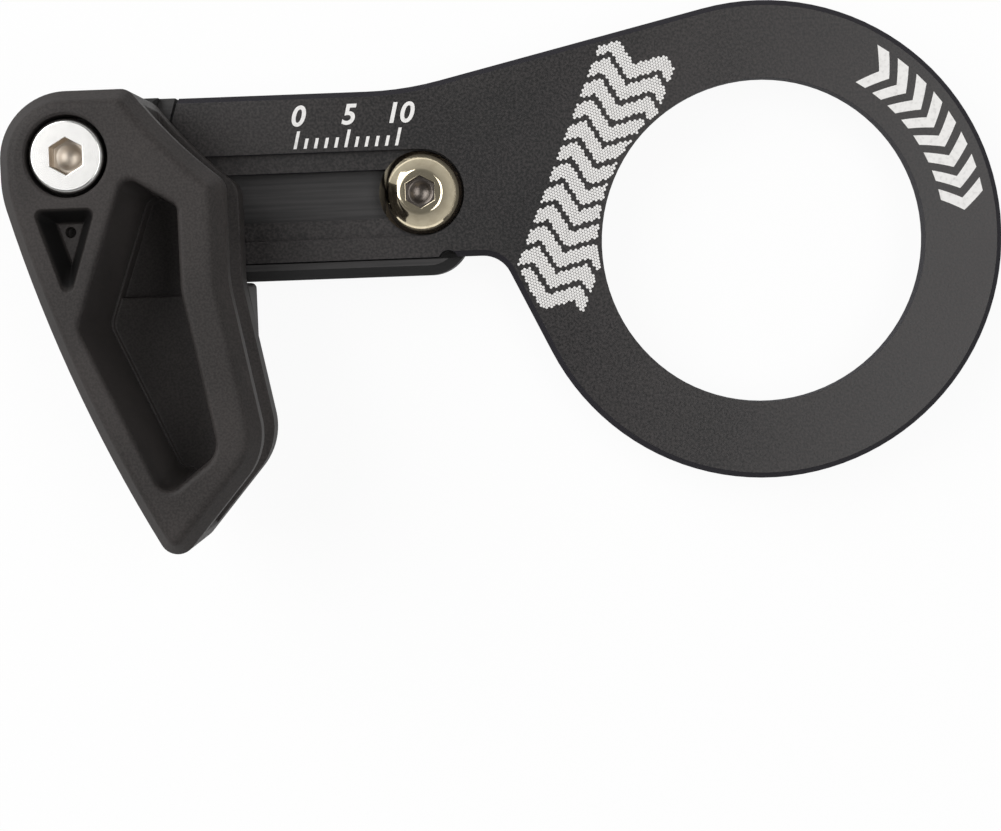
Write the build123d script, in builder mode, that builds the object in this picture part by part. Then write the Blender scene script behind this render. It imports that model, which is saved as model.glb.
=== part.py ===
from build123d import *

import os
from math import acos, cos, degrees, hypot, radians, tan

# All lengths are millimetres and all angles are degrees. The origin is the centre of the bore on the
# ring's rear face, which seats on the bottom bracket shell. X runs along the adjusting slot, and Z points
# outboard along the bore.

# Backplate: bottom bracket ring
bore_radius = 17.5
ring_radius = 25.85
plate_thickness = 2.5
plate_chamfer = 0.6

# Backplate: web and arm, with each reach counted to the left of the bore
arm_top = 17.65
arm_bottom = -0.5
arm_reach = 62.75
arm_end_slant = 17.0
upper_web_reach = 38.4
upper_web_blend = 35.0
lower_web_gap = 2.6
lower_web_blend = 3.3
relief_gap = 2.4
relief_radius = 1.05
relief_land = 0.12

# Adjusting slot and clamp bolt
clamp_reach = 36.9
slot_height = 6.55
slot_end_gap = 2.35
recess_depth = 1.0
slide_clearance = 0.15
clamp_shank_radius = 2.5
clamp_head_radius = 4.55
clamp_head_height = 2.75
clamp_head_rim = 0.5
clamp_head_flat = 2.15
clamp_socket_width = 3.1
clamp_socket_depth = 1.6

# Slider: bar behind the arm, lip below the arm and paddle at the arm's end
slider_thickness = 4.5
slider_bar_top = 14.6
slider_overhang = 5.1
slider_corner = 4.4
lip_width = 1.75
lip_set_back = 0.3
lip_chamfer = 1.05
paddle_left = 6.0
paddle_draw_in = 3.2
paddle_corner = 6.2
paddle_foot_corner = 1.6
paddle_gap = 0.3
platform_inset = 1.6
platform_rise = 1.4
platform_chamfer = 0.4

# Cage bolt, beyond the arm's end and at the round end of the guides
cage_gap = 8.65
cage_height = 10.6
cage_shank_radius = 2.0
cage_head_radius = 3.75
cage_head_height = 4.0
cage_head_chamfer = 0.3
cage_socket_width = 3.3
cage_socket_depth = 2.2
cage_tip_recess = 0.4
shank_clearance = 0.25
head_clearance = 0.4
head_rim_chamfer = 0.2
thread_clearance = 0.05
drill_point_angle = 118.0
drill_point_share = 0.42
hexagon_turn = 30.0
upright_share = 0.5

# Guide outline, shared by both guides and counted to the right of and below the cage bolt
guide_end_land = 1.4
guide_end_reach = -0.13
guide_end_drop = 0.3
shoulder_reach = 6.2
shoulder_round = 1.6
flank_reach = 15.4
flank_drop = 2.9
flank_round = 2.0
scoop_sagitta = 0.47
waist_drop = 13.2
waist_round = 12.0
belly_swell = 3.24
belly_drop = 30.4
belly_round = 7.0
tip_reach = 8.8
tip_drop = 42.0
tip_round = 1.9
hip_drop = 3.54
hip_round = 12.0
rear_edge_bulge = 1.4

# Guide thicknesses and the gap that the chain runs in
inner_thickness = 3.5
chain_gap = 8.5
outer_thickness = 4.0
bevel_width = 1.4
bevel_height = 2.0
bevel_round = 1.2
land_height = 0.6
land_ledge = 0.25

# Inner guide: lowered field beside the slider, and key that hooks under the slider
step_gap = 1.3
step_depth = 1.2
step_rim = 2.0
key_length = 14.0
key_width = 8.0
key_round = 0.6
key_wall = 2.0
key_set_back = 0.2
key_clearance = 0.1

# Window in the outer guide, counted from the cage bolt
window_draft = 4.0
window_rim_round = 0.6
window_top_reach = 5.6
window_top_drop = 2.0
window_top_round = 1.2
window_limb_width = 4.55
window_side_drop = 5.3
window_side_round = 1.0
window_waist_drop = 13.9
window_waist_round = 8.0
window_belly_limb = 4.64
window_belly_drop = 30.4
window_belly_round = 3.0
window_tip_reach = 8.2
window_tip_drop = 34.8
window_tip_round = 1.5
window_bend_reach = 0.3
window_bend_drop = 17.2
window_bend_round = 2.0

# Chain channel between the guides, counted from the cage bolt
channel_mouth_reach = 7.4
channel_neck_reach = 6.9
channel_neck_drop = 4.8
channel_bend_reach = 2.6
channel_bend_drop = 17.0
channel_sole_reach = 9.2
channel_sole_drop = 32.0
channel_exit_reach = 12.9

# Triangular pocket below the cage bolt
pocket_top_drop = 5.2
pocket_left_reach = -3.7
pocket_right_reach = 2.8
pocket_tip_reach = -0.5
pocket_tip_drop = 15.2
pocket_round = 0.7
pocket_depth = 3.0
pocket_draft = 26.0
pocket_hole_radius = 0.55
pocket_hole_depth = 1.5
pocket_hole_drop = 7.5

os.makedirs("parts", exist_ok=True)

# Levels along the bore, from the ring's rear face
recess_floor = plate_thickness - recess_depth
slider_rear = -slider_thickness
lip_top = plate_thickness - lip_set_back
platform_height = plate_thickness + platform_rise
inner_face = platform_height + inner_thickness
step_floor = inner_face - step_depth
parting_level = inner_face + land_height
outer_rear = inner_face + chain_gap
outer_front = outer_rear + outer_thickness

# Places that several pieces share
slide_travel = arm_reach - clamp_reach - slot_end_gap
bore = Vector(0, 0)
clamp = Vector(-clamp_reach, slot_height)
cage = Vector(-arm_reach - cage_gap, cage_height)
slot_centre = clamp - Vector(slide_travel / 2, 0)
slider_bottom = arm_bottom - slide_clearance - lip_width
slider_end = clamp.X + slider_overhang
far_off = 2 * cage.length


def from_cage(right, down):
    """Return the point that lies right of and below the cage bolt."""
    return cage + Vector(right, -down)


def touch_point(centre, radius, outside, turn):
    """Return where a line from an outside point touches a circle, on the side that turn gives."""
    reach = outside - centre
    angle = turn * degrees(acos(radius / reach.length))
    return centre + reach.normalized().rotate(Axis.Z, angle) * radius


def arm_end_at(height, gap):
    """Return the point at a height on the arm's slanted end, or on a line at a gap from it."""
    slant = radians(arm_end_slant)
    return Vector(-arm_reach - (arm_top - height) * tan(slant) - gap / cos(slant), height)


def round_corner(outline, corner, radius):
    """Round the corner of an outline that lies nearest to a point."""
    fillet(outline.vertices().sort_by_distance(corner)[0], radius)


def round_upright(block, corner, radius):
    """Round the upright edge of a block whose top lies nearest to a corner of the guide's front face."""
    uprights = block.edges().filter_by(lambda edge: abs(edge.tangent_at(0).Z) > upright_share)
    fillet(uprights.sort_by_distance(Vector(corner.X, corner.Y, outer_front))[0], radius)


def socket(width, depth):
    """Make the cutter for a hexagon socket with a drill point, hanging down from the origin."""
    point_radius = drill_point_share * width
    point_depth = point_radius / tan(radians(drill_point_angle / 2))
    with BuildPart() as cutter:
        with BuildSketch():
            RegularPolygon(width / 2, 6, major_radius=False, rotation=hexagon_turn)
        extrude(amount=-depth)
        with Locations((0, 0, -depth)):
            Cone(0, point_radius, point_depth, align=(Align.CENTER, Align.CENTER, Align.MAX))
    return cutter.part


# Backplate: ring, web and arm in one flat plate
upper_corner = Vector(-upper_web_reach, arm_top)
lower_corner = Vector(-ring_radius - lower_web_gap, arm_bottom)
relief = Vector(slider_end - relief_gap, arm_bottom + plate_chamfer + relief_land - relief_radius)
with BuildPart() as backplate:
    with BuildSketch() as plate_outline:
        Circle(ring_radius)
        with BuildLine():
            Polyline(
                bore,
                touch_point(bore, ring_radius, upper_corner, -1),
                upper_corner,
                arm_end_at(arm_top, 0),
                arm_end_at(arm_bottom, 0),
                lower_corner,
                touch_point(bore, ring_radius, lower_corner, 1),
                close=True,
            )
        make_face()
        round_corner(plate_outline, upper_corner, upper_web_blend)
        round_corner(plate_outline, lower_corner, lower_web_blend)
        with Locations(relief):
            Circle(relief_radius, mode=Mode.SUBTRACT)
    extrude(amount=plate_thickness)
    rim = backplate.faces().sort_by(Axis.Z)[-1].outer_wire().edges()
    open_rim = rim.filter_by(
        lambda edge: edge.center().X > lower_corner.X or edge.center().Y > arm_top - plate_chamfer
    )
    chamfer(open_rim, plate_chamfer)
    Hole(bore_radius)
    with BuildSketch(Plane.XY.offset(recess_floor)):
        with Locations(slot_centre):
            SlotCenterToCenter(slide_travel, 2 * (clamp_head_radius + slide_clearance))
    extrude(amount=recess_depth, mode=Mode.SUBTRACT)
    with BuildSketch():
        with Locations(slot_centre):
            SlotCenterToCenter(slide_travel, 2 * (clamp_shank_radius + slide_clearance))
    extrude(amount=recess_floor, mode=Mode.SUBTRACT)
backplate.part.label = "backplate"
export_step(backplate.part, "parts/backplate.step")


# Slider: bar, lip and paddle in one piece
paddle_shoulder = Vector(cage.X - paddle_left, arm_top)
paddle_foot = Vector(cage.X - paddle_left + paddle_draw_in, slider_bottom)


def paddle_outline(gap):
    """Draw the paddle, whose right side follows the arm's slanted end at a gap."""
    with BuildSketch() as outline:
        with BuildLine():
            Polyline(
                paddle_shoulder,
                arm_end_at(arm_top, gap),
                arm_end_at(slider_bottom, gap),
                paddle_foot,
                close=True,
            )
        make_face()
        round_corner(outline, paddle_shoulder, paddle_corner)
        round_corner(outline, paddle_foot, paddle_foot_corner)
    return outline.sketch


with BuildPart() as slider:
    with BuildSketch(Plane.XY.offset(slider_rear)) as bar:
        with BuildLine():
            Polyline(
                (slider_end, slider_bottom),
                (slider_end, slider_bar_top),
                (cage.X, slider_bar_top),
                (cage.X, slider_bottom),
                close=True,
            )
        make_face()
        fillet(bar.vertices().group_by(Axis.X)[-1], slider_corner)
    extrude(amount=slider_thickness + lip_top)
    with BuildSketch():
        with Locations((cage.X, slider_bottom + lip_width)):
            Rectangle(far_off, far_off, align=(Align.MIN, Align.MIN))
    extrude(amount=lip_top, mode=Mode.SUBTRACT)
    lip_rim = slider.faces().sort_by(Axis.Z)[-1].edges()
    lower_rim = lip_rim.filter_by(lambda edge: edge.center().Y < slider_bottom + lip_width / 2)
    chamfer(lower_rim.filter_by(lambda edge: edge.center().X > cage.X), lip_chamfer)
    with BuildSketch(Plane.XY.offset(slider_rear)):
        add(paddle_outline(paddle_gap))
    extrude(amount=slider_thickness + plate_thickness)
    with BuildSketch(Plane.XY.offset(plate_thickness)):
        add(paddle_outline(paddle_gap + platform_inset))
    extrude(amount=platform_height - plate_thickness)
    chamfer(slider.faces().sort_by(Axis.Z)[-1].outer_wire().edges(), platform_chamfer)
    with Locations((clamp.X, clamp.Y, 0)):
        Hole(clamp_shank_radius + thread_clearance)
    with Locations((cage.X, cage.Y, platform_height)):
        Hole(cage_shank_radius + thread_clearance)
slider.part.label = "slider"
export_step(slider.part, "parts/slider.step")


# Clamp bolt: button head that slides in the recess, threaded into the slider
clamp_top = recess_floor + clamp_head_height
dome_height = clamp_head_height - clamp_head_rim
dome_drop = (clamp_head_radius**2 - clamp_head_flat**2 - dome_height**2) / (2 * dome_height)
dome_radius = hypot(clamp_head_radius, dome_drop)
with BuildPart() as clamp_bolt:
    with BuildSketch(Plane((clamp.X, clamp.Y, recess_floor), (1, 0, 0), (0, -1, 0))):
        with BuildLine():
            Line((0, 0), (clamp_head_radius, 0))
            Line((clamp_head_radius, 0), (clamp_head_radius, clamp_head_rim))
            RadiusArc(
                (clamp_head_radius, clamp_head_rim),
                (clamp_head_flat, clamp_head_height),
                -dome_radius,
            )
            Line((clamp_head_flat, clamp_head_height), (0, clamp_head_height))
            Line((0, clamp_head_height), (0, 0))
        make_face()
    revolve(axis=Axis((clamp.X, clamp.Y, 0), (0, 0, 1)))
    with BuildSketch(Plane.XY.offset(recess_floor)):
        with Locations(clamp):
            Circle(clamp_shank_radius)
    extrude(amount=slider_rear - recess_floor)
    with Locations((clamp.X, clamp.Y, clamp_top)):
        add(socket(clamp_socket_width, clamp_socket_depth), mode=Mode.SUBTRACT)
clamp_bolt.part.label = "clamp_bolt"
export_step(clamp_bolt.part, "parts/clamp_bolt.step")

# Guide outline: round end, top edge, scooped shoulder, waist, belly, tip and bulged rear edge
guide_end_radius = cage_head_radius + head_clearance + guide_end_land + bevel_width
end_centre = from_cage(guide_end_reach, guide_end_drop)
end_top = end_centre + Vector(0, guide_end_radius)
end_left = end_centre - Vector(guide_end_radius, 0)
shoulder = Vector(cage.X + shoulder_reach, end_top.Y)
flank = from_cage(flank_reach, flank_drop)
waist = from_cage(flank_reach, waist_drop)
belly = from_cage(flank_reach + belly_swell, belly_drop)
tip = from_cage(tip_reach, tip_drop)
hip = Vector(end_left.X, cage.Y - hip_drop)
with BuildSketch() as guide_outline:
    with BuildLine():
        CenterArc(end_centre, guide_end_radius, start_angle=90, arc_size=90)
        Line(end_top, shoulder)
        SagittaArc(shoulder, flank, -scoop_sagitta)
        Polyline(flank, waist, belly, tip)
        SagittaArc(tip, hip, rear_edge_bulge)
        Line(hip, end_left)
    make_face()
    round_corner(guide_outline, shoulder, shoulder_round)
    round_corner(guide_outline, flank, flank_round)
    round_corner(guide_outline, waist, waist_round)
    round_corner(guide_outline, belly, belly_round)
    round_corner(guide_outline, tip, tip_round)
    round_corner(guide_outline, hip, hip_round)

# Window outline on the outer guide's front face
window_top = from_cage(window_top_reach, window_top_drop)
window_side = from_cage(flank_reach - window_limb_width, window_side_drop)
window_waist = from_cage(flank_reach - window_limb_width, window_waist_drop)
window_belly = from_cage(flank_reach + belly_swell - window_belly_limb, window_belly_drop)
window_tip = from_cage(window_tip_reach, window_tip_drop)
window_bend = from_cage(window_bend_reach, window_bend_drop)
with BuildPart() as window_core:
    with BuildSketch(Plane.XY.offset(outer_front)):
        with BuildLine():
            Polyline(
                window_top,
                window_side,
                window_waist,
                window_belly,
                window_tip,
                window_bend,
                close=True,
            )
        make_face()
    extrude(amount=step_floor - outer_front, taper=window_draft)
    round_upright(window_core, window_top, window_top_round)
    round_upright(window_core, window_side, window_side_round)
    round_upright(window_core, window_waist, window_waist_round)
    round_upright(window_core, window_belly, window_belly_round)
    round_upright(window_core, window_tip, window_tip_round)
    round_upright(window_core, window_bend, window_bend_round)


def chain_channel():
    """Draw the open field between the guides, right of the bridge that joins them."""
    with BuildSketch() as channel:
        with BuildLine():
            Polyline(
                from_cage(channel_mouth_reach, -far_off),
                from_cage(channel_mouth_reach, -guide_end_radius),
                from_cage(channel_neck_reach, channel_neck_drop),
                from_cage(channel_bend_reach, channel_bend_drop),
                from_cage(channel_sole_reach, channel_sole_drop),
                from_cage(channel_exit_reach, tip_drop),
                from_cage(far_off, tip_drop),
                from_cage(far_off, -far_off),
                close=True,
            )
        make_face()
    return channel.sketch


def bridge(bottom, top, ledge):
    """Make the slice of the bridge between two levels, with the window's wall moved right by a ledge."""
    with BuildPart() as block:
        with BuildSketch(Plane.XY.offset(bottom)):
            add(guide_outline.sketch)
            add(chain_channel(), mode=Mode.SUBTRACT)
        extrude(amount=top - bottom)
        with Locations((ledge, 0, 0)):
            add(window_core.part, mode=Mode.SUBTRACT)
    return block.part


def front_rim(guide, place):
    """Return the edges of the opening in a guide's front face whose rim lies nearest to a place."""
    openings = guide.faces().sort_by(Axis.Z)[-1].inner_wires()
    return openings.sort_by_distance(Vector(place.X, place.Y, outer_front))[0].edges()


# Outer guide: bevelled front plate with the bridge moulded behind it
with BuildPart() as outer_guide:
    with BuildSketch(Plane.XY.offset(outer_rear)):
        add(guide_outline.sketch)
    extrude(amount=outer_thickness)
    front = outer_guide.faces().sort_by(Axis.Z)[-1]
    chamfer(front.edges(), bevel_width, length2=bevel_height, reference=front)
    fillet(outer_guide.edges().group_by(Axis.Z)[-1], bevel_round)
    add(window_core.part, mode=Mode.SUBTRACT)
    fillet(front_rim(outer_guide, window_bend), window_rim_round)
    add(bridge(parting_level, outer_rear, 0))
    with Locations((cage.X, cage.Y, outer_front)):
        CounterBoreHole(
            cage_shank_radius + shank_clearance,
            cage_head_radius + head_clearance,
            cage_head_height,
        )
    chamfer(front_rim(outer_guide, cage), head_rim_chamfer)
    with BuildSketch(Plane.XY.offset(outer_front)) as pocket:
        with BuildLine():
            Polyline(
                from_cage(pocket_left_reach, pocket_top_drop),
                from_cage(pocket_right_reach, pocket_top_drop),
                from_cage(pocket_tip_reach, pocket_tip_drop),
                close=True,
            )
        make_face()
        fillet(pocket.vertices(), pocket_round)
    extrude(amount=-pocket_depth, taper=pocket_draft, mode=Mode.SUBTRACT)
    with BuildSketch(Plane.XY.offset(outer_front - pocket_depth)):
        with Locations(from_cage(pocket_tip_reach, pocket_hole_drop)):
            Circle(pocket_hole_radius)
    extrude(amount=-pocket_hole_depth, mode=Mode.SUBTRACT)
outer_guide.part.label = "outer_guide"
export_step(outer_guide.part, "parts/outer_guide.step")

# Inner guide: flat plate on the paddle, with the land that the bridge stands on
with BuildPart() as inner_guide:
    with BuildSketch(Plane.XY.offset(platform_height)):
        add(guide_outline.sketch)
    extrude(amount=inner_thickness)
    with BuildSketch(Plane.XY.offset(step_floor)):
        add(guide_outline.sketch)
        offset(amount=-step_rim)
        with Locations((cage.X, slider_bottom - step_gap)):
            Rectangle(far_off, far_off, align=(Align.CENTER, Align.MIN), mode=Mode.INTERSECT)
    extrude(amount=step_depth, mode=Mode.SUBTRACT)
    add(bridge(step_floor, parting_level, land_ledge))
    with BuildSketch(Plane.XY.offset(slider_rear + key_set_back)):
        with Locations((flank.X, slider_bottom - key_clearance)):
            RectangleRounded(key_length, key_width, key_round, align=(Align.MAX, Align.MAX))
            with Locations((-key_wall, -key_wall)):
                Rectangle(
                    key_length - 2 * key_wall,
                    key_width - 2 * key_wall,
                    align=(Align.MAX, Align.MAX),
                    mode=Mode.SUBTRACT,
                )
    extrude(amount=platform_height - slider_rear - key_set_back)
    with Locations((cage.X, cage.Y, parting_level)):
        Hole(cage_shank_radius + shank_clearance)
inner_guide.part.label = "inner_guide"
export_step(inner_guide.part, "parts/inner_guide.step")

# Cage bolt: cap head flush with the outer guide, threaded into the paddle
with BuildPart() as cage_bolt:
    with BuildSketch(Plane.XY.offset(outer_front - cage_head_height)):
        with Locations(cage):
            Circle(cage_head_radius)
    extrude(amount=cage_head_height)
    chamfer(cage_bolt.edges().sort_by(Axis.Z)[-1], cage_head_chamfer)
    with BuildSketch(Plane.XY.offset(slider_rear + cage_tip_recess)):
        with Locations(cage):
            Circle(cage_shank_radius)
    extrude(amount=outer_front - cage_head_height - slider_rear - cage_tip_recess)
    with Locations((cage.X, cage.Y, outer_front)):
        add(socket(cage_socket_width, cage_socket_depth), mode=Mode.SUBTRACT)
cage_bolt.part.label = "cage_bolt"
export_step(cage_bolt.part, "parts/cage_bolt.step")
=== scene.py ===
import logging
import math
from abc import ABC, abstractmethod
from dataclasses import dataclass, field
from enum import Enum
from functools import cached_property
from typing import Any, Iterator, Optional, Sequence, Union

import bmesh
import bpy
from mathutils import Matrix, Vector
from mathutils.bvhtree import BVHTree


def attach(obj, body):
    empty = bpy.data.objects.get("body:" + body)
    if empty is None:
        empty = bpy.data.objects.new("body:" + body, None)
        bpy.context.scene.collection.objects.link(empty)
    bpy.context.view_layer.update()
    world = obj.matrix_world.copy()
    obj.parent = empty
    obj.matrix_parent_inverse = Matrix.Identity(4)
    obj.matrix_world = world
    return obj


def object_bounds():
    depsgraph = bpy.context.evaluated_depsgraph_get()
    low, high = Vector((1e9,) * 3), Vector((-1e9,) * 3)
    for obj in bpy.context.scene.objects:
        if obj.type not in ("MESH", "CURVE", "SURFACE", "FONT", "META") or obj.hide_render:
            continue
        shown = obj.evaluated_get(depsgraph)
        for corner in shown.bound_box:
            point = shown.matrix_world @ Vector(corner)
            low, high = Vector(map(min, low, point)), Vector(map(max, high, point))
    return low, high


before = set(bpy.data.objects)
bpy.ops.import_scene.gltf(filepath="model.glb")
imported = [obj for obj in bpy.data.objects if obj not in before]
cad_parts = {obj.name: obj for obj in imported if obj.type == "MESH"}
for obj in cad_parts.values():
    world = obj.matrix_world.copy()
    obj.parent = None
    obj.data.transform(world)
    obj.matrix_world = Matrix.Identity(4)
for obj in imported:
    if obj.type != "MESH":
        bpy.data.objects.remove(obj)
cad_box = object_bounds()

log = logging.getLogger("chain_guide")

MM = 0.001
SAME_PLACE = 1e-7
EDGE_SAMPLES = 8

# A Mix node's colour sockets go by number, because their names repeat.
MIX_SHARE, MIX_FIRST, MIX_SECOND, MIX_RESULT = 0, 6, 7, 2

Colour = tuple[float, float, float]
Place = tuple[float, float]
Span = tuple[float, float]
Number = Union[float, "Value"]


class Piece(Enum):
    """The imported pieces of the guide, by their names in the frame."""

    BACKPLATE = "backplate"
    SLIDER = "slider"
    CLAMP_BOLT = "clamp_bolt"
    INNER_GUIDE = "inner_guide"
    OUTER_GUIDE = "outer_guide"
    CAGE_BOLT = "cage_bolt"

    @property
    def packed(self) -> bpy.types.Object:
        """Return the piece's object in the frame."""
        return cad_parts[self.value]

    def box(self) -> tuple[Vector, Vector]:
        """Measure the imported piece.

        Returns:
            Its low and its high corner, in millimetres.
        """
        corners = [vertex.co / MM for vertex in self.packed.data.vertices]
        axes = list(zip(*corners))
        return Vector([min(axis) for axis in axes]), Vector([max(axis) for axis in axes])


class Operation(Enum):
    """What a Math or Vector Math node works out."""

    ADD = "ADD"
    SUBTRACT = "SUBTRACT"
    MULTIPLY = "MULTIPLY"
    POWER = "POWER"
    ABSOLUTE = "ABSOLUTE"
    MAXIMUM = "MAXIMUM"
    SINE = "SINE"


class Ray(Enum):
    """The kinds of ray that see the floor as plain white."""

    CAMERA = "Is Camera Ray"
    GLOSSY = "Is Glossy Ray"
    TRANSMISSION = "Is Transmission Ray"


class Value:
    """A number that a shader node gives, for use in Python expressions."""

    def __init__(self, graph: "Graph", socket: bpy.types.NodeSocket) -> None:
        """Keep the socket and the graph that it belongs to."""
        self.graph = graph
        self.socket = socket

    def __add__(self, other: Number) -> "Value":
        """Return self + other."""
        return self.graph.math(Operation.ADD, self, other)

    def __radd__(self, other: Number) -> "Value":
        """Return other + self."""
        return self.graph.math(Operation.ADD, other, self)

    def __sub__(self, other: Number) -> "Value":
        """Return self - other."""
        return self.graph.math(Operation.SUBTRACT, self, other)

    def __rsub__(self, other: Number) -> "Value":
        """Return other - self."""
        return self.graph.math(Operation.SUBTRACT, other, self)

    def __mul__(self, other: Number) -> "Value":
        """Return self * other."""
        return self.graph.math(Operation.MULTIPLY, self, other)

    def __rmul__(self, other: Number) -> "Value":
        """Return other * self."""
        return self.graph.math(Operation.MULTIPLY, other, self)

    def __pow__(self, other: Number) -> "Value":
        """Return self to the power of other."""
        return self.graph.math(Operation.POWER, self, other)

    def __rpow__(self, other: Number) -> "Value":
        """Return other to the power of self."""
        return self.graph.math(Operation.POWER, other, self)

    def __abs__(self) -> "Value":
        """Return the value without its sign."""
        return self.graph.math(Operation.ABSOLUTE, self)

    def larger(self, other: Number) -> "Value":
        """Return the larger of two values."""
        return self.graph.math(Operation.MAXIMUM, self, other)

    def wave(self) -> "Value":
        """Return a wave between 0 and 1 that comes round at each whole number."""
        return self.graph.math(Operation.SINE, self * math.tau) * 0.5 + 0.5

    def swing(self, reach: float) -> "Value":
        """Return a value of 0 to 1 as a swing round 0, with a given reach from end to end."""
        return (self - 0.5) * reach

    def ramp(self, start: float, end: float) -> "Value":
        """Return a smooth rise from 0 at start to 1 at end.

        Args:
            start: the value at which the rise begins; it may lie above end for a fall.
            end: the value at which the rise is complete.

        Returns:
            The risen value, held between 0 and 1.
        """
        sockets = {"Value": self, "From Min": start, "From Max": end, "To Min": 0.0, "To Max": 1.0}
        return self.graph.value("ShaderNodeMapRange", {"interpolation_type": "SMOOTHSTEP"}, sockets)


class Graph:
    """The node tree of one material or world. Places on a surface are millimetres."""

    def __init__(self, owner: Union[bpy.types.Material, bpy.types.World]) -> None:
        """Empty the owner's node tree and keep it.

        Args:
            owner: the material or world that the nodes belong to.
        """
        owner.use_nodes = True
        self.tree = owner.node_tree
        self.tree.nodes.clear()

    def add(self, kind: str, settings: dict[str, Any], sockets: dict[Any, Any]) -> bpy.types.Node:
        """Add one node.

        Args:
            kind: the node's type.
            settings: the node's own settings, such as its operation, which are set first.
            sockets: the values or links of its inputs, by name or number.

        Returns:
            The new node.
        """
        node = self.tree.nodes.new(kind)
        for name, setting in settings.items():
            setattr(node, name, setting)
        for name, given in sockets.items():
            if isinstance(given, Value):
                self.tree.links.new(given.socket, node.inputs[name])
            elif isinstance(given, bpy.types.NodeSocket):
                self.tree.links.new(given, node.inputs[name])
            else:
                node.inputs[name].default_value = given
        return node

    def value(self, kind: str, settings: dict[str, Any], sockets: dict[Any, Any], output: Any = 0) -> Value:
        """Add one node and return one of its outputs as a value.

        Args:
            kind: the node's type.
            settings: the node's own settings.
            sockets: the values or links of its inputs.
            output: the name or number of the output.

        Returns:
            The output, ready for expressions.
        """
        return Value(self, self.add(kind, settings, sockets).outputs[output])

    def math(self, operation: Operation, *terms: Number) -> Value:
        """Add a Math node on one or two terms."""
        return self.value("ShaderNodeMath", {"operation": operation.value}, dict(enumerate(terms)))

    def vectors(self, operation: Operation, *terms: Any) -> bpy.types.NodeSocket:
        """Add a Vector Math node on two vectors."""
        node = self.add("ShaderNodeVectorMath", {"operation": operation.value}, dict(enumerate(terms)))
        return node.outputs[0]

    def place(self) -> bpy.types.NodeSocket:
        """Return the point on the surface, in the piece's own frame."""
        metres = self.add("ShaderNodeTexCoord", {}, {}).outputs["Object"]
        return self.vectors(Operation.MULTIPLY, metres, (1 / MM, 1 / MM, 1 / MM))

    def axes(self, vector: bpy.types.NodeSocket) -> tuple[Value, Value, Value]:
        """Split a vector into its three values."""
        node = self.add("ShaderNodeSeparateXYZ", {}, {0: vector})
        return Value(self, node.outputs[0]), Value(self, node.outputs[1]), Value(self, node.outputs[2])

    def away(self, vector: bpy.types.NodeSocket, axis: Sequence[float]) -> Value:
        """Return how far a point lies from an upright axis."""
        across, along, _ = self.axes(self.vectors(Operation.SUBTRACT, vector, (*axis, 0.0)))
        return (across * across + along * along) ** 0.5

    def within(self, vector: bpy.types.NodeSocket, corners: Sequence[Place], soft: float) -> Value:
        """Return 1 inside a convex outline seen from the front, and 0 outside it.

        Args:
            vector: the point on the surface.
            corners: the outline's corners, counter-clockwise.
            soft: how wide the change is, to each side of the outline.

        Returns:
            The mask, from 0 to 1.
        """
        across, along, _ = self.axes(vector)
        mask: Number = 1.0
        for here, there in zip(corners, (*corners[1:], corners[0])):
            inward = (Vector(there) - Vector(here)).orthogonal().normalized()
            depth = across * inward.x + along * inward.y - inward.dot(Vector(here))
            mask = mask * depth.ramp(-soft, soft)
        return mask

    def tilted(self, flat: float = 0.98, steep: float = 0.80) -> Value:
        """Return 0 on faces that lie flat and 1 on the edges and sides between them.

        Args:
            flat: the upright share of the normal at which a face still counts as flat.
            steep: the upright share at which it counts as an edge or a side.

        Returns:
            The mask, from 0 to 1.
        """
        true_normal = self.add("ShaderNodeNewGeometry", {}, {}).outputs["True Normal"]
        return abs(self.axes(true_normal)[2]).ramp(flat, steep)

    def noise(self, vector: bpy.types.NodeSocket, width: float, layers: float = 2.0) -> Value:
        """Add a noise whose features have a given width.

        Args:
            vector: the point on the surface.
            width: how wide one feature is.
            layers: how many finer layers lie on it.

        Returns:
            The noise, from 0 to 1 and mostly near one half.
        """
        sockets = {"Vector": vector, "Scale": 1 / width, "Detail": layers}
        return self.value("ShaderNodeTexNoise", {}, sockets, "Fac")

    def blend(self, share: Number, first: Any, second: Any) -> bpy.types.NodeSocket:
        """Mix two colours.

        Args:
            share: how much of the second colour there is, from 0 to 1.
            first: the first colour, or the socket that gives it.
            second: the second colour, or the socket that gives it.

        Returns:
            The socket of the mixed colour.
        """
        sockets = {MIX_SHARE: share, MIX_FIRST: self._full(first), MIX_SECOND: self._full(second)}
        return self.add("ShaderNodeMix", {"data_type": "RGBA"}, sockets).outputs[MIX_RESULT]

    def _full(self, colour: Any) -> Any:
        """Return a written colour with its alpha, and any socket as it is."""
        return (*colour, 1.0) if isinstance(colour, tuple) else colour

    def bump(self, height: Value, rise: float, soft_edge: float = 0.0) -> bpy.types.NodeSocket:
        """Return the normal of a raised surface.

        Args:
            height: the height, from 0 to 1.
            rise: how far a height of 1 stands out.
            soft_edge: how far the sharp edges under it are rounded off.

        Returns:
            The socket of the normal.
        """
        sockets = {"Strength": 1.0, "Distance": rise * MM, "Height": height}
        if soft_edge:
            edges = self.add("ShaderNodeBevel", {"samples": EDGE_SAMPLES}, {"Radius": soft_edge * MM})
            sockets["Normal"] = edges.outputs["Normal"]
        return self.add("ShaderNodeBump", {}, sockets).outputs["Normal"]

    def finish(self, sockets: dict[str, Any]) -> None:
        """Add the surface shader with its sockets and join it to the output."""
        shader = self.add("ShaderNodeBsdfPrincipled", {}, sockets)
        self.add("ShaderNodeOutputMaterial", {}, {"Surface": shader.outputs[0]})


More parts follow.
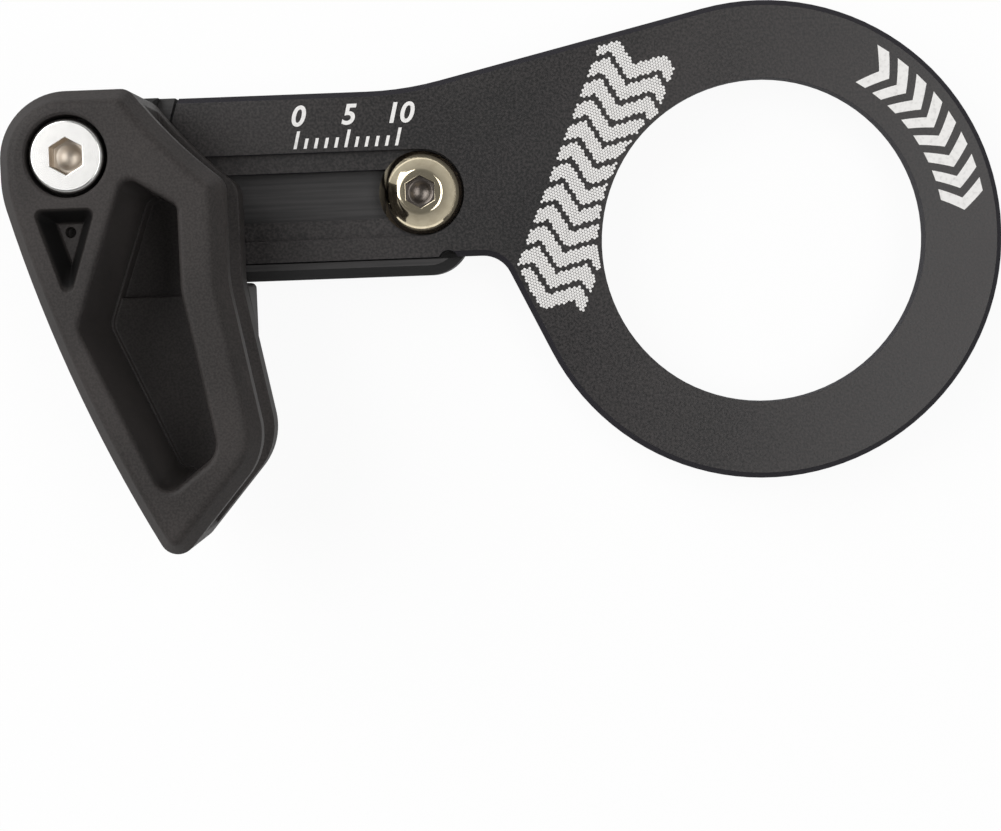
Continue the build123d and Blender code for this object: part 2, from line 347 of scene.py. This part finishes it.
class Finish(ABC):
    """What the finishes of the guide share. Their lengths are millimetres."""

    name: str

    @abstractmethod
    def surface(self, graph: Graph) -> dict[str, Any]:
        """Give the values and links of the surface shader's sockets."""

    def material(self) -> bpy.types.Material:
        """Build the finish's material.

        Returns:
            The material, ready for a piece.
        """
        made = bpy.data.materials.new(self.name)
        graph = Graph(made)
        graph.finish(self.surface(graph))
        return made


@dataclass(frozen=True)
class BlastedAnodising(Finish):
    """Black anodised aluminium with a fine blasted grain, painted shade that darkens the web and painted
    plum-tinted shade on its edges and sides.
    """

    name: str = "blasted_anodising"
    dark: Colour = (0.005, 0.0045, 0.0045)
    pale: Colour = (0.0362, 0.0305, 0.0297)
    painted_edge_shade: Colour = (0.006, 0.0045, 0.009)
    grain_width: float = 0.28
    grain_rise: float = 0.012
    grain_span: Span = (0.30, 0.72)
    grain_share: float = 0.75
    grain_dulling: float = 0.25
    cloud_width: float = 16.0
    cloud_layers: float = 3.0
    cloud_span: Span = (0.3, 0.7)
    cloud_dulling: float = 0.12
    web_centre: Place = (-29.0, 9.0)
    web_span: Span = (17.0, 5.1)
    web_shade_strength: float = 0.34
    roughness: float = 0.38
    edge_dulling: float = 0.40

    def surface(self, graph: Graph) -> dict[str, Any]:
        """Give the sockets of the plate's surface.

        Args:
            graph: the material's node tree.

        Returns:
            The values and links of the surface shader's sockets.
        """
        point = graph.place()
        grain = graph.noise(point, self.grain_width)
        cloud = graph.noise(point, self.cloud_width, self.cloud_layers)
        # Painted shade: the base colour grows darker towards the middle of the web.
        painted_web_shade = graph.away(point, self.web_centre).ramp(*self.web_span) * self.web_shade_strength
        clouded = cloud.ramp(*self.cloud_span) * (1 - self.grain_share)
        shade = grain.ramp(*self.grain_span) * self.grain_share + clouded - painted_web_shade
        # Painted shade: edges and sides are mixed towards a dark plum colour.
        edge = graph.tilted()
        uneven = grain.swing(self.grain_dulling) + cloud.swing(self.cloud_dulling)
        return {
            "Base Color": graph.blend(edge, graph.blend(shade, self.dark, self.pale), self.painted_edge_shade),
            "Roughness": self.roughness + edge * self.edge_dulling + uneven,
            "Normal": graph.bump(grain, self.grain_rise),
        }


@dataclass(frozen=True)
class MachinedAnodising(Finish):
    """Black anodised aluminium with the faint rows of a milling cutter and painted shade that darkens its
    edges and sides.
    """

    name: str = "machined_anodising"
    dark: Colour = (0.013, 0.0122, 0.0122)
    pale: Colour = (0.037, 0.0342, 0.0342)
    painted_edge_shade: Colour = (0.004, 0.0036, 0.0038)
    row_width: float = 0.35
    row_stretch: tuple[float, float, float] = (0.03, 1.0, 1.0)
    row_rise: float = 0.004
    row_span: Span = (0.3, 0.7)
    row_share: float = 0.6
    row_dulling: float = 0.1
    cloud_width: float = 6.0
    cloud_layers: float = 3.0
    cloud_dulling: float = 0.2
    roughness: float = 0.46
    edge_dulling: float = 0.20

    def surface(self, graph: Graph) -> dict[str, Any]:
        """Give the sockets of the slider's surface.

        Args:
            graph: the material's node tree.

        Returns:
            The values and links of the surface shader's sockets.
        """
        point = graph.place()
        rows = graph.noise(graph.vectors(Operation.MULTIPLY, point, self.row_stretch), self.row_width)
        cloud = graph.noise(point, self.cloud_width, self.cloud_layers)
        shade = rows.ramp(*self.row_span) * self.row_share + cloud * (1 - self.row_share)
        # Painted shade: edges and sides are mixed towards a darker colour.
        edge = graph.tilted()
        uneven = rows.swing(self.row_dulling) + cloud.swing(self.cloud_dulling)
        return {
            "Base Color": graph.blend(edge, graph.blend(shade, self.dark, self.pale), self.painted_edge_shade),
            "Roughness": self.roughness + edge * self.edge_dulling + uneven,
            "Normal": graph.bump(rows, self.row_rise),
        }


@dataclass(frozen=True)
class MouldedNylon(Finish):
    """Satin black nylon with a fine moulded grain, flow clouds, light scuffs and painted shade that darkens
    the pocket walls.
    """

    name: str = "moulded_nylon"
    dark: Colour = (0.019, 0.0165, 0.0155)
    pale: Colour = (0.046, 0.040, 0.038)
    scuff_tint: Colour = (0.075, 0.066, 0.062)
    pocket_painted_shade: Colour = (0.004, 0.0035, 0.0033)
    grain_width: float = 0.24
    grain_rise: float = 0.008
    grain_span: Span = (0.3, 0.7)
    grain_share: float = 0.6
    grain_dulling: float = 0.15
    cloud_width: float = 9.0
    cloud_layers: float = 4.0
    cloud_span: Span = (0.3, 0.7)
    cloud_dulling: float = 0.18
    scuff_width: float = 1.1
    scuff_layers: float = 5.0
    scuff_stretch: tuple[float, float, float] = (1.0, 0.35, 1.0)
    scuff_span: Span = (0.62, 0.80)
    scuff_share: float = 0.35
    scuff_dulling: float = 0.08
    pocket_corners: tuple[Place, ...] = ((-75.1, 5.4), (-71.9, -4.6), (-68.6, 5.4))
    pocket_soft: float = 0.3
    pocket_rim: Span = (0.0, 0.7)
    pocket_foot: Span = (2.9, 2.5)
    soft_edge: float = 0.22
    roughness: float = 0.60
    gloss: float = 0.30

    def surface(self, graph: Graph) -> dict[str, Any]:
        """Give the sockets of the guides' surface.

        Args:
            graph: the material's node tree.

        Returns:
            The values and links of the surface shader's sockets.
        """
        point = graph.place()
        grain = graph.noise(point, self.grain_width)
        cloud = graph.noise(point, self.cloud_width, self.cloud_layers)
        stretched = graph.vectors(Operation.MULTIPLY, point, self.scuff_stretch)
        scuffs = graph.noise(stretched, self.scuff_width, self.scuff_layers).ramp(*self.scuff_span)
        clouded = cloud.ramp(*self.cloud_span) * (1 - self.grain_share)
        shade = clouded + grain.ramp(*self.grain_span) * self.grain_share
        face = graph.blend(shade, self.dark, self.pale)
        scuffed = graph.blend(scuffs * self.scuff_share, face, self.scuff_tint)
        # Painted shade: the walls of the front pocket get a near-black colour, standing in for shade in the
        # recess.
        depth = Piece.OUTER_GUIDE.box()[1].z - graph.axes(point)[2]
        wall = depth.ramp(*self.pocket_rim) * depth.ramp(*self.pocket_foot)
        pocket = graph.within(point, self.pocket_corners, self.pocket_soft) * wall
        uneven = grain.swing(self.grain_dulling) + cloud.swing(self.cloud_dulling)
        return {
            "Base Color": graph.blend(pocket, scuffed, self.pocket_painted_shade),
            "Specular IOR Level": self.gloss,
            "Roughness": self.roughness + scuffs * self.scuff_dulling + uneven,
            "Normal": graph.bump(grain, self.grain_rise, self.soft_edge),
        }


@dataclass(frozen=True)
class BoltSteel(Finish):
    """Stainless steel of a bolt head, with turning rings, smears, a rougher socket and painted shade that
    darkens the socket.
    """

    name: str
    piece: Piece
    bright: Colour
    dull: Colour
    socket_painted_shade: Colour
    socket_radius: float
    ring_width: float
    ring_rise: float
    roughness: float
    ring_share: float = 0.6
    smear_width: float = 0.9
    smear_layers: float = 3.0
    smear_span: Span = (0.35, 0.75)
    smear_share: float = 0.7
    smear_dulling: float = 0.08
    socket_edge: Span = (1.15, 1.05)
    socket_depth: Span = (0.10, 0.35)
    socket_dulling: float = 0.22

    def surface(self, graph: Graph) -> dict[str, Any]:
        """Give the sockets of the bolt's surface.

        Args:
            graph: the material's node tree.

        Returns:
            The values and links of the surface shader's sockets.
        """
        low, high = self.piece.box()
        point = graph.place()
        radius = graph.away(point, ((low + high) / 2).to_2d())
        rings = (radius * (1 / self.ring_width)).wave()
        smear = graph.noise(point, self.smear_width, self.smear_layers)
        inside = radius.ramp(*(share * self.socket_radius for share in self.socket_edge))
        # Painted shade: the hex socket's walls and floor get a darker colour.
        socket = inside * (high.z - graph.axes(point)[2]).ramp(*self.socket_depth)
        face = graph.blend(smear.ramp(*self.smear_span) * self.smear_share, self.bright, self.dull)
        return {
            "Base Color": graph.blend(socket, face, self.socket_painted_shade),
            "Metallic": 1.0,
            "Roughness": self.roughness + smear * self.smear_dulling + socket * self.socket_dulling,
            "Normal": graph.bump(rings * self.ring_share + smear * (1 - self.ring_share), self.ring_rise),
        }


@dataclass(frozen=True)
class PrintedInk(Finish):
    """White ink that is printed on the plate, thin in places."""

    name: str = "white_ink"
    full: Colour = (0.88, 0.865, 0.845)
    thin: Colour = (0.66, 0.645, 0.63)
    mottle_width: float = 0.5
    mottle_layers: float = 4.0
    mottle_rise: float = 0.004
    mottle_span: Span = (0.45, 0.85)
    mottle_dulling: float = 0.2
    roughness: float = 0.5

    def surface(self, graph: Graph) -> dict[str, Any]:
        """Give the sockets of the ink's surface.

        Args:
            graph: the material's node tree.

        Returns:
            The values and links of the surface shader's sockets.
        """
        mottle = graph.noise(graph.place(), self.mottle_width, self.mottle_layers)
        return {
            "Base Color": graph.blend(mottle.ramp(*self.mottle_span), self.full, self.thin),
            "Roughness": self.roughness + mottle.swing(self.mottle_dulling),
            "Normal": graph.bump(mottle, self.mottle_rise),
        }


@dataclass(frozen=True)
class WhiteSweep:
    """Matt white floor that stays white behind the guide and keeps its shadow."""

    name: str = "white_sweep"
    shade: Colour = (0.94, 0.94, 0.94)
    white: Colour = (1.0, 1.0, 1.0)
    glows: tuple[tuple[Ray, float], ...] = (
        (Ray.CAMERA, 0.93),
        (Ray.GLOSSY, 0.40),
        (Ray.TRANSMISSION, 0.40),
    )

    def material(self) -> bpy.types.Material:
        """Build the floor's material.

        Returns:
            The material, which mixes matt white with plain white by the kind of ray.
        """
        made = bpy.data.materials.new(self.name)
        graph = Graph(made)
        path = graph.add("ShaderNodeLightPath", {}, {})
        seen: Number = 0.0
        for ray, glow in self.glows:
            seen = (Value(graph, path.outputs[ray.value]) * glow).larger(seen)
        matt = graph.add("ShaderNodeBsdfDiffuse", {}, {"Color": (*self.shade, 1.0)})
        plain = graph.add("ShaderNodeEmission", {}, {"Color": (*self.white, 1.0), "Strength": 1.0})
        surface = graph.add("ShaderNodeMixShader", {}, {0: seen, 1: matt.outputs[0], 2: plain.outputs[0]})
        graph.add("ShaderNodeOutputMaterial", {}, {"Surface": surface.outputs[0]})
        return made


@dataclass(frozen=True)
class EdgeRounding:
    """The small rounding that a real piece has on its sharp edges. Lengths are millimetres."""

    width: float
    segments: int = 2
    sharper_than_deg: float = 30.0
    flatter_than_deg: float = 0.2
    weld: float = 0.001
    face_weight: int = 50

    def apply(self, piece: bpy.types.Object) -> None:
        """Add the modifiers that round a piece's edges.

        Args:
            piece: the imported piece, whose own mesh stays as it is.
        """
        weld = piece.modifiers.new("weld", "WELD")
        weld.merge_threshold = self.weld * MM
        planar = piece.modifiers.new("planar", "DECIMATE")
        planar.decimate_type = "DISSOLVE"
        planar.angle_limit = math.radians(self.flatter_than_deg)
        bevel = piece.modifiers.new("rounding", "BEVEL")
        bevel.width = self.width * MM
        bevel.segments = self.segments
        bevel.limit_method = "ANGLE"
        bevel.angle_limit = math.radians(self.sharper_than_deg)
        normals = piece.modifiers.new("normals", "WEIGHTED_NORMAL")
        normals.keep_sharp = False
        normals.weight = self.face_weight


def close_slivers(piece: bpy.types.Object) -> None:
    """Join the ends of edges that have no length, so that no facet is without area.

    Args:
        piece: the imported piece, whose own mesh stays as it is.
    """
    weld = piece.modifiers.new("slivers", "WELD")
    weld.mode = "CONNECTED"
    weld.merge_threshold = SAME_PLACE


def dress(piece: Piece, material: bpy.types.Material, rounding: Optional[EdgeRounding] = None) -> None:
    """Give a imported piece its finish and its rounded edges.

    Args:
        piece: which piece it is.
        material: the finish's material.
        rounding: the rounding of its edges, unless the solid's own bevels and roundings are enough.
    """
    piece.packed.data.materials.clear()
    piece.packed.data.materials.append(material)
    if rounding:
        rounding.apply(piece.packed)
    else:
        close_slivers(piece.packed)
    log.info("dressed %s with %s", piece.value, material.name)


@dataclass
class InkLayer:
    """One printed mark: flat outlines raised to the thickness of the ink. Lengths are millimetres."""

    name: str
    level: float
    ink: float = 0.03
    sunk: float = 0.01
    digit_share: float = 0.69
    mesh: bmesh.types.BMesh = field(default_factory=bmesh.new)

    def outline(self, points: Sequence[Vector]) -> None:
        """Add one closed outline.

        Args:
            points: the corners of the outline, counter-clockwise.
        """
        low = (self.level - self.sunk) * MM
        high = (self.level + self.ink) * MM
        under = [self.mesh.verts.new((point.x * MM, point.y * MM, low)) for point in points]
        over = [self.mesh.verts.new((point.x * MM, point.y * MM, high)) for point in points]
        self.mesh.faces.new(over)
        self.mesh.faces.new(under[::-1])
        for first in range(len(points)):
            second = (first + 1) % len(points)
            self.mesh.faces.new((under[first], under[second], over[second], over[first]))

    def numeral(self, text: str, place: Vector, height: float, slant: float, weight: float) -> None:
        """Add one plain number, centred on a place.

        Args:
            text: the digits.
            place: the middle of the number's foot.
            height: the height of the digits.
            slant: how far the digits lean.
            weight: how much their strokes are thickened.
        """
        curve = bpy.data.curves.new("digits", "FONT")
        curve.body = text
        curve.align_x = "CENTER"
        curve.shear = slant
        curve.size = height / self.digit_share * MM
        curve.offset = weight * MM
        curve.extrude = (self.ink + self.sunk) / 2 * MM
        holder = bpy.data.objects.new("digits", curve)
        bpy.context.scene.collection.objects.link(holder)
        bpy.context.view_layer.update()
        shaped = holder.evaluated_get(bpy.context.evaluated_depsgraph_get())
        digits = bpy.data.meshes.new_from_object(shaped)
        middle = self.level + (self.ink - self.sunk) / 2
        digits.transform(Matrix.Translation((place.x * MM, place.y * MM, middle * MM)))
        self.mesh.from_mesh(digits)
        bpy.data.objects.remove(holder)
        bpy.data.curves.remove(curve)
        bpy.data.meshes.remove(digits)

    def print_on(self, body: str, slot: str, material: bpy.types.Material) -> None:
        """Turn the outlines into a piece that rides on a body.

        Args:
            body: the body that the mark is printed on.
            slot: not used.
            material: the ink's material.
        """
        bmesh.ops.remove_doubles(self.mesh, verts=self.mesh.verts, dist=SAME_PLACE)
        bmesh.ops.recalc_face_normals(self.mesh, faces=self.mesh.faces)
        data = bpy.data.meshes.new(self.name)
        self.mesh.to_mesh(data)
        self.mesh.free()
        data.materials.append(material)
        mark = bpy.data.objects.new(self.name, data)
        bpy.context.scene.collection.objects.link(mark)
        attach(mark, body)
        log.info("printed %s with %d faces", self.name, len(data.polygons))


@dataclass
class Backplate:
    """Ring, web and arm in one plate, with its printed marks. Lengths are millimetres."""

    body: str = "plate"
    slot: str = "anodised_plate"
    face_tolerance: float = 0.001
    rounding: EdgeRounding = EdgeRounding(0.10)
    finish: BlastedAnodising = BlastedAnodising()
    ink: PrintedInk = PrintedInk()

    arrow_count: int = 8
    arrow_steps: int = 6
    arrow_first_deg: float = 58.0
    arrow_last_deg: float = 8.0
    arrow_inner: float = 19.6
    arrow_outer: float = 24.2
    arrow_share: float = 0.56
    arrow_lead_deg: float = 4.2

    web_top: Place = (-12.6, 21.4)
    web_bottom: Place = (-24.4, -7.2)
    web_half_width: float = 4.2
    web_margin: float = 0.30
    zigzag_count: int = 12
    zigzag_share: float = 0.72
    zigzag_fold: float = 2.8
    zigzag_reach: float = 2.1
    dot_pitch: float = 0.32
    dot_radius: float = 0.16
    dot_corners: int = 6
    dot_probes: int = 8

    scale_left: float = -50.5
    scale_foot: float = 11.7
    scale_step: float = 1.1
    scale_ticks: int = 11
    scale_long_each: int = 5
    tick_width: float = 0.34
    tick_short: float = 1.1
    tick_long: float = 1.9
    tick_lean: float = 0.25
    digit_foot: float = 14.2
    digit_height: float = 2.1
    digit_weight: float = 0.07

    @cached_property
    def face_level(self) -> float:
        """Return how high the plate's flat front face stands."""
        return Piece.BACKPLATE.box()[1].z

    def build(self) -> None:
        """Dress the plate and print its three marks."""
        dress(Piece.BACKPLATE, self.finish.material(), self.rounding)
        ink = self.ink.material()
        for layer in (self._ring_arrows(), self._web_zigzags(), self._arm_scale()):
            layer.print_on(self.body, self.slot, ink)

    def _ring_arrows(self) -> InkLayer:
        """Draw the row of arrowheads that follows the ring.

        Returns:
            The mark, ready for printing.
        """
        layer = InkLayer("ring_arrow_marks", self.face_level)
        pitch = (self.arrow_last_deg - self.arrow_first_deg) / self.arrow_count
        inward = [1 - step / self.arrow_steps for step in range(2 * self.arrow_steps + 1)]
        for count in range(self.arrow_count):
            tail = self.arrow_first_deg + pitch * count
            head = tail + pitch * self.arrow_share
            corners = [self._arrow_point(head, share) for share in reversed(inward)]
            corners += [self._arrow_point(tail, share) for share in inward]
            layer.outline(corners)
        return layer

    def _arrow_point(self, edge_deg: float, share: float) -> Vector:
        """Return one point of an arrowhead's edge.

        Args:
            edge_deg: the angle on the ring at which the edge starts and ends.
            share: where the point lies, from -1 at the inner end to 1 at the outer end.

        Returns:
            The point, which leads the ends by more towards the middle.
        """
        angle = math.radians(edge_deg - self.arrow_lead_deg * (1 - abs(share)))
        radius = (self.arrow_inner + self.arrow_outer + share * (self.arrow_outer - self.arrow_inner)) / 2
        return Vector((radius * math.cos(angle), radius * math.sin(angle)))

    def _web_zigzags(self) -> InkLayer:
        """Draw a stack of zigzag stripes across the web, each filled with a screen of dots.

        Returns:
            The mark, ready for printing.
        """
        layer = InkLayer("web_zigzag_marks", self.face_level)
        faces = self._plate_faces()
        top = Vector(self.web_top)
        run = Vector(self.web_bottom) - top
        along = run.normalized()
        across = Vector((-along.y, along.x))
        for down, side in self._screen(run.length):
            centre = top + along * down + across * side
            if self._in_stripe(down, side, run.length) and self._on_face(faces, centre):
                layer.outline(self._around(centre, self.dot_radius, self.dot_corners, 0.5))
        return layer

    def _screen(self, length: float) -> Iterator[tuple[float, float]]:
        """Give the places of a staggered screen of dots.

        Args:
            length: how far the screen runs down the web.

        Returns:
            Each dot's distance down the web and to the side of its middle.
        """
        row_height = self.dot_pitch * math.sqrt(3) / 2
        rows = int(length / row_height) + 1
        columns = int(self.web_half_width / self.dot_pitch) + 1
        for row in range(rows):
            for column in range(-columns, columns + 1):
                side = (column + row % 2 / 2) * self.dot_pitch
                if abs(side) <= self.web_half_width:
                    yield row * row_height, side

    def _in_stripe(self, down: float, side: float, length: float) -> bool:
        """Tell whether a dot belongs to one of the zigzag stripes.

        Args:
            down: how far down the web the dot lies.
            side: how far it lies to the side of the middle.
            length: how long the whole stack is.

        Returns:
            True inside a stripe, and False in the gap between two.
        """
        fold = abs((side / self.zigzag_fold) % 2 - 1)
        place = (down - fold * self.zigzag_reach) / (length - self.zigzag_reach) * self.zigzag_count
        return 0 <= place < self.zigzag_count and place % 1 < self.zigzag_share

    def _plate_faces(self) -> BVHTree:
        """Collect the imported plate's faces.

        Returns:
            The faces, for looking up what lies below a point.
        """
        data = Piece.BACKPLATE.packed.data
        corners = [vertex.co for vertex in data.vertices]
        return BVHTree.FromPolygons(corners, [tuple(face.vertices) for face in data.polygons])

    def _on_face(self, faces: BVHTree, centre: Vector) -> bool:
        """Tell whether a dot and a margin round it lie on the plate's flat front face.

        Args:
            faces: the plate's faces.
            centre: the dot's middle.

        Returns:
            True if the flat face carries the whole dot.
        """
        for rim in self._around(centre, self.dot_radius + self.web_margin, self.dot_probes):
            above = Vector((rim.x, rim.y, 2 * self.face_level)) * MM
            hit = faces.ray_cast(above, Vector((0, 0, -1)))[0]
            if hit is None or abs(hit.z - self.face_level * MM) > self.face_tolerance * MM:
                return False
        return True

    def _around(self, centre: Vector, radius: float, count: int, first: float = 0.0) -> list[Vector]:
        """Return even points on a circle.

        Args:
            centre: the circle's middle.
            radius: the circle's radius.
            count: how many points there are.
            first: where the first point lies, in steps from the right.

        Returns:
            The points, counter-clockwise.
        """
        turns = [math.tau * (step + first) / count for step in range(count)]
        return [centre + Vector((math.cos(turn), math.sin(turn))) * radius for turn in turns]

    def _arm_scale(self) -> InkLayer:
        """Draw the scale of ticks and plain numbers above the slot.

        Returns:
            The mark, ready for printing.
        """
        layer = InkLayer("arm_scale_marks", self.face_level)
        for count in range(self.scale_ticks):
            numbered = count % self.scale_long_each == 0
            height = self.tick_long if numbered else self.tick_short
            left = Vector((self.scale_left + count * self.scale_step, self.scale_foot))
            wide = Vector((self.tick_width, 0))
            tall = Vector((self.tick_lean * height, height))
            layer.outline([left, left + wide, left + wide + tall, left + tall])
            if numbered:
                place = Vector((left.x + self.tick_lean * self.tick_long, self.digit_foot))
                layer.numeral(str(count), place, self.digit_height, self.tick_lean, self.digit_weight)
        return layer


@dataclass
class Carrier:
    """The slider and the bolt that clamps it in the slot. Lengths are millimetres."""

    slider_rounding: EdgeRounding = EdgeRounding(0.12)
    slider_finish: MachinedAnodising = MachinedAnodising()
    bolt_rounding: EdgeRounding = EdgeRounding(0.10)
    bolt_finish: BoltSteel = BoltSteel(
        name="polished_clamp_steel",
        piece=Piece.CLAMP_BOLT,
        bright=(0.97, 0.86, 0.63),
        dull=(0.82, 0.71, 0.51),
        socket_painted_shade=(0.16, 0.14, 0.125),
        socket_radius=1.8,
        ring_width=0.30,
        ring_rise=0.0006,
        roughness=0.06,
    )

    def build(self) -> None:
        """Dress the slider and its clamp bolt."""
        dress(Piece.SLIDER, self.slider_finish.material(), self.slider_rounding)
        dress(Piece.CLAMP_BOLT, self.bolt_finish.material(), self.bolt_rounding)


@dataclass
class ChainCage:
    """The two moulded guides and the bolt that holds them on the slider. Lengths are millimetres."""

    guide_finish: MouldedNylon = MouldedNylon()
    inner_rounding: EdgeRounding = EdgeRounding(0.15)
    bolt_rounding: EdgeRounding = EdgeRounding(0.08)
    bolt_finish: BoltSteel = BoltSteel(
        name="turned_cage_steel",
        piece=Piece.CAGE_BOLT,
        bright=(0.86, 0.85, 0.83),
        dull=(0.78, 0.77, 0.75),
        socket_painted_shade=(0.60, 0.53, 0.45),
        socket_radius=1.9,
        ring_width=0.22,
        ring_rise=0.0008,
        roughness=0.16,
    )

    def build(self) -> None:
        """Dress both guides and the cage bolt."""
        nylon = self.guide_finish.material()
        dress(Piece.INNER_GUIDE, nylon, self.inner_rounding)
        dress(Piece.OUTER_GUIDE, nylon)
        dress(Piece.CAGE_BOLT, self.bolt_finish.material(), self.bolt_rounding)


def aimed(eye: Vector, aim: Vector, up: Vector) -> Matrix:
    """Return the placing of a camera or lamp that looks at a point.

    Args:
        eye: where it stands.
        aim: what it looks at.
        up: the direction that shows upright.

    Returns:
        The placing, with the view along its own -Z.
    """
    back = (eye - aim).normalized()
    right = up.cross(back).normalized()
    top = back.cross(right)
    return Matrix.Translation(eye) @ Matrix((right, top, back)).transposed().to_4x4()


@dataclass(frozen=True)
class Softbox:
    """One rectangular lamp. Lengths are metres."""

    name: str
    place: tuple[float, float, float]
    aim: tuple[float, float, float]
    width: float
    height: float
    power: float

    def hang(self) -> None:
        """Make the lamp and point it at its aim."""
        data = bpy.data.lights.new(self.name, "AREA")
        data.shape = "RECTANGLE"
        data.size = self.width
        data.size_y = self.height
        data.energy = self.power
        lamp = bpy.data.objects.new(self.name, data)
        lamp.matrix_world = aimed(Vector(self.place), Vector(self.aim), Vector((0, 1, 0)))
        bpy.context.scene.collection.objects.link(lamp)
        log.info("hung %s", self.name)


@dataclass
class Studio:
    """White sweep, soft lamps and the camera. Lengths are metres."""

    sweep: WhiteSweep = WhiteSweep()
    floor_gap: float = 0.00002
    floor_half: float = 3.0
    dome_low: Colour = (0.45, 0.45, 0.45)
    dome_high: Colour = (0.14, 0.14, 0.14)
    lamps: tuple[Softbox, ...] = (
        Softbox(
            name="left_softbox",
            place=(-0.40, 0.22, 0.42),
            aim=(-0.04, 0.0, 0.0),
            width=0.45,
            height=0.60,
            power=2.9,
        ),
        Softbox(
            name="right_softbox",
            place=(0.22, -0.03, 0.55),
            aim=(0.0, 0.0, 0.0),
            width=0.26,
            height=0.50,
            power=1.2,
        ),
        Softbox(
            name="bolt_softbox",
            place=(-0.19, 0.06, 0.60),
            aim=(-0.07, 0.01, 0.0),
            width=0.14,
            height=0.14,
            power=0.052,
        ),
    )
    camera_place: tuple[float, float, float] = (-0.026547, -0.004390, 0.2225)
    camera_aim: tuple[float, float, float] = (-0.029163, -0.017956, 0.0025)
    camera_roll_deg: float = 2.1
    camera_lens: float = 72.734
    camera_sensor: float = 36.0
    camera_sight: Span = (0.01, 20.0)

    def build(self) -> None:
        """Set up the whole studio."""
        bpy.context.scene.view_settings.view_transform = "Standard"
        self._floor()
        self._dome()
        for lamp in self.lamps:
            lamp.hang()
        self._camera()

    def _floor(self) -> None:
        """Lay the white floor that the guide rests on."""
        half = self.floor_half
        data = bpy.data.meshes.new("studio_floor")
        corners = [(-half, -half, 0), (half, -half, 0), (half, half, 0), (-half, half, 0)]
        data.from_pydata(corners, [], [(0, 1, 2, 3)])
        data.materials.append(self.sweep.material())
        floor = bpy.data.objects.new("studio_floor", data)
        floor.location.z = cad_box[0][2] - self.floor_gap
        bpy.context.scene.collection.objects.link(floor)
        log.info("laid the floor")

    def _dome(self) -> None:
        """Light the room softly from all sides, less from straight above."""
        world = bpy.data.worlds.new("soft_dome")
        bpy.context.scene.world = world
        graph = Graph(world)
        direction = graph.add("ShaderNodeTexCoord", {}, {}).outputs["Generated"]
        height = graph.axes(direction)[2].ramp(0.0, 1.0)
        light = graph.blend(height, self.dome_low, self.dome_high)
        sky = graph.add("ShaderNodeBackground", {}, {"Color": light, "Strength": 1.0})
        graph.add("ShaderNodeOutputWorld", {}, {"Surface": sky.outputs[0]})
        log.info("lit the dome")

    def _camera(self) -> None:
        """Place the camera above the guide."""
        data = bpy.data.cameras.new("studio_camera")
        data.sensor_fit = "HORIZONTAL"
        data.sensor_width = self.camera_sensor
        data.lens = self.camera_lens
        data.clip_start, data.clip_end = self.camera_sight
        camera = bpy.data.objects.new("studio_camera", data)
        roll = math.radians(self.camera_roll_deg)
        up = Vector((math.sin(roll), math.cos(roll), 0))
        camera.matrix_world = aimed(Vector(self.camera_place), Vector(self.camera_aim), up)
        bpy.context.scene.collection.objects.link(camera)
        bpy.context.scene.camera = camera
        log.info("placed the camera")


def write_sizes() -> None:
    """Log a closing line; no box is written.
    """
    log.info("wrote both boxes")


def main() -> None:
    """Dress the guide piece by piece and set up its studio."""
    logging.basicConfig(level=logging.INFO, format="%(message)s")
    for assembly in (Backplate(), Carrier(), ChainCage(), Studio()):
        assembly.build()
    write_sizes()


if __name__ == "__main__":
    main()
